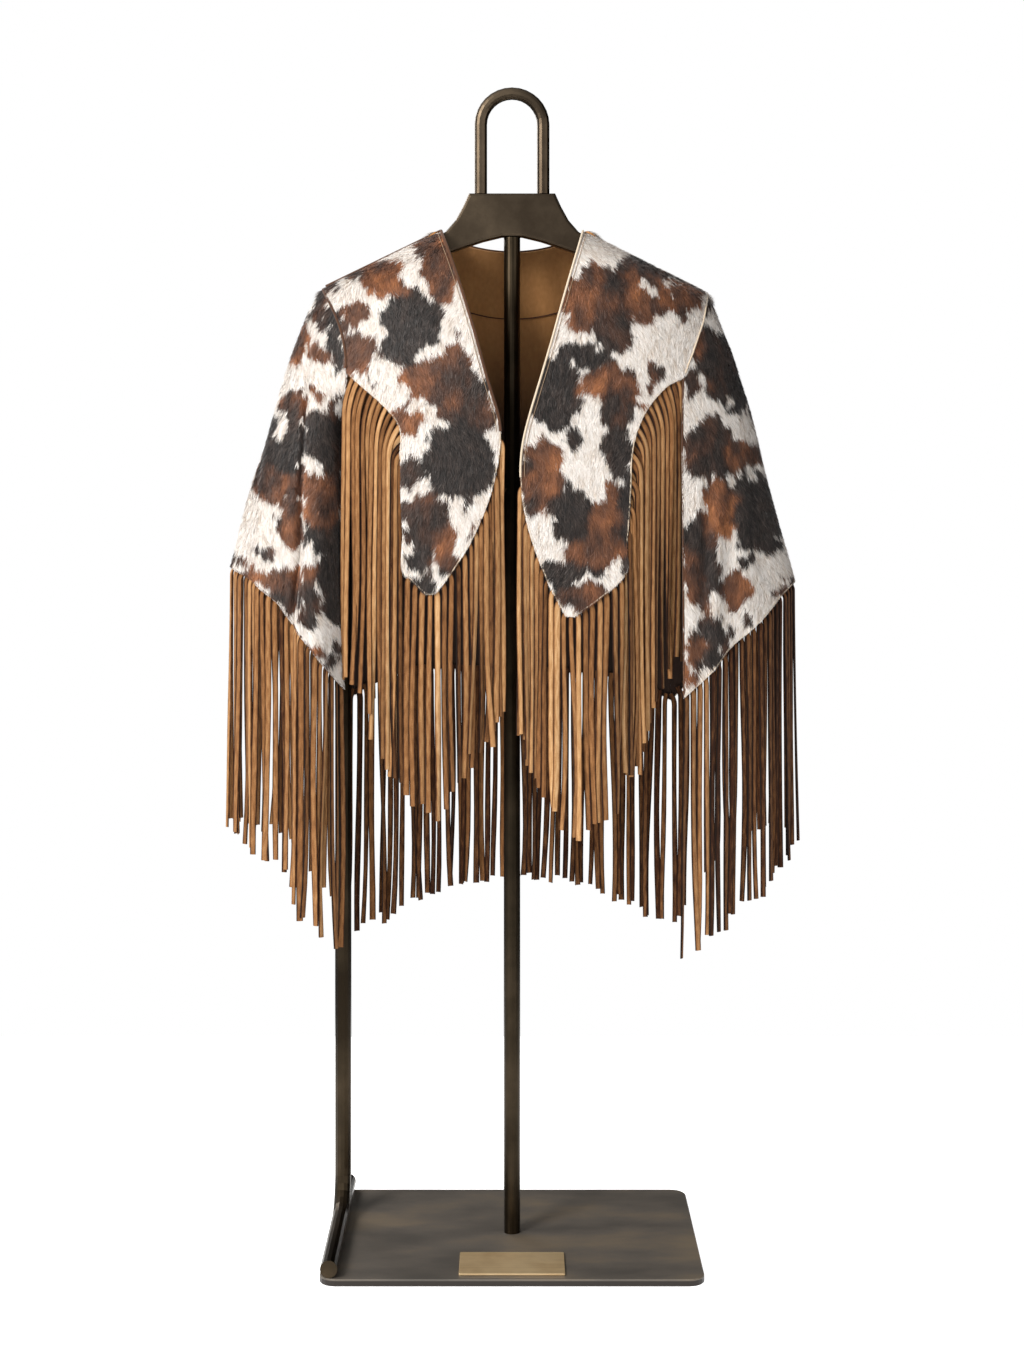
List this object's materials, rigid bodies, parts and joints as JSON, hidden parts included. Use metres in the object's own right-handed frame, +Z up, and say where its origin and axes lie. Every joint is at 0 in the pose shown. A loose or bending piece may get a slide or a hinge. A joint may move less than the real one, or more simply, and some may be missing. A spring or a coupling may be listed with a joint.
{
  "type": "fringed cape on a display stand",
  "caption": "Open-front cape of patchwork hair-on hide with long suede fringe, hung on a bronze display stand with a base plate, pole, hanger, loop and side tube.",
  "frame": {"origin": "centre of the underside of the stand's base plate", "axes": "+Z up, +X to the right of someone who faces the open front, the front looks along -Y"},
  "size_m": [0.6461, 0.3, 1.3248],
  "materials": {
    "hide": "short hair-on hide in brown, black and white patches",
    "back_hide": "short hair-on hide outside, suede inside",
    "suede": "brushed tan suede",
    "bronze": "dark patinated bronze, satin",
    "base_metal": "mottled dark bronze patina, satin",
    "plate_brass": "bare aged brass, satin"
  },
  "bodies": {
    "root": {"base_plate": "base_metal", "label_plate": "plate_brass", "centre_pole": "bronze", "side_tube": "bronze", "hanger": "bronze", "top_loop": "bronze", "back_panel": "back_hide", "back_neck_facing": "suede", "front_left": "hide", "front_right": "hide", "sleeve_left": "hide", "sleeve_right": "hide", "fringe_front_left": "suede", "fringe_front_right": "suede", "fringe_armhole_left": "suede", "fringe_armhole_right": "suede", "fringe_sleeve_left": "suede", "fringe_sleeve_right": "suede", "fringe_back": "suede"}
  },
  "joints": []
}
